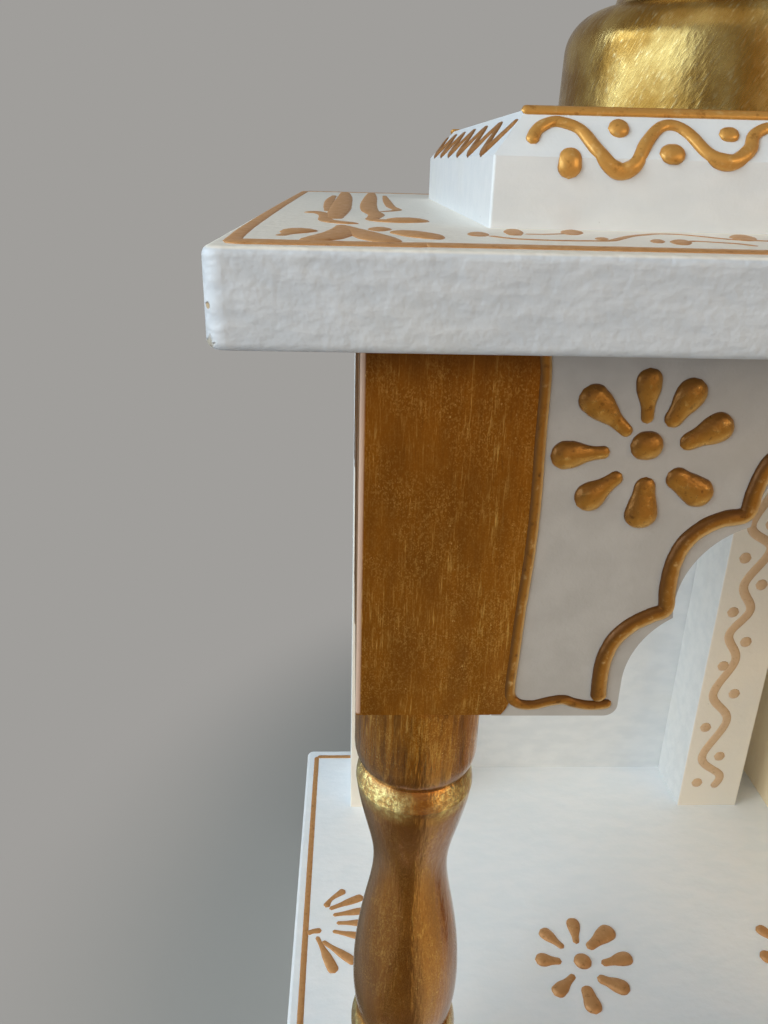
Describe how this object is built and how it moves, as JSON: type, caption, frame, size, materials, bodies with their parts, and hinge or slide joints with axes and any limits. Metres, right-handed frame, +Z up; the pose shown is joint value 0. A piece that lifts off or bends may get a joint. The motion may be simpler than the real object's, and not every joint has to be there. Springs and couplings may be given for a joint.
{
  "type": "wooden pooja mandir",
  "caption": "Small household shrine with open bays between turned gold posts, scalloped arch boards, a flat roof slab and turned gold domes on blocks.",
  "frame": {"origin": "on the floor under the centre of the slabs", "axes": "+Z up, -Y towards the front, +X to the right as seen from the front"},
  "size_m": [0.763, 0.305, 0.7001],
  "materials": {
    "white_paint": "brushed matt paint",
    "gold_paint": "brushed gold paint with a metallic sheen"
  },
  "bodies": {
    "root": {"base_slab": "white_paint", "roof_slab": "white_paint", "plinth_front": "white_paint", "plinth_back": "white_paint", "plinth_left": "white_paint", "plinth_right": "white_paint", "back_panel": "white_paint", "pilaster_outer_left": "white_paint", "pilaster_inner_left": "white_paint", "pilaster_inner_right": "white_paint", "pilaster_outer_right": "white_paint", "arch_left": "white_paint", "arch_centre": "white_paint", "arch_right": "white_paint", "arch_end_left": "white_paint", "arch_end_right": "white_paint", "block_left": "white_paint", "block_centre": "white_paint", "block_right": "white_paint", "block_centre_top": "white_paint", "throne_top": "white_paint", "post_outer_left": "gold_paint", "post_inner_left": "gold_paint", "post_inner_right": "gold_paint", "post_outer_right": "gold_paint", "dome_base_left": "gold_paint", "dome_base_centre": "gold_paint", "dome_base_right": "gold_paint", "dome_left": "gold_paint", "dome_centre": "gold_paint", "dome_right": "gold_paint", "finial_left": "gold_paint", "finial_centre": "gold_paint", "finial_right": "gold_paint", "throne_box": "gold_paint", "throne_step": "gold_paint"}
  },
  "joints": []
}
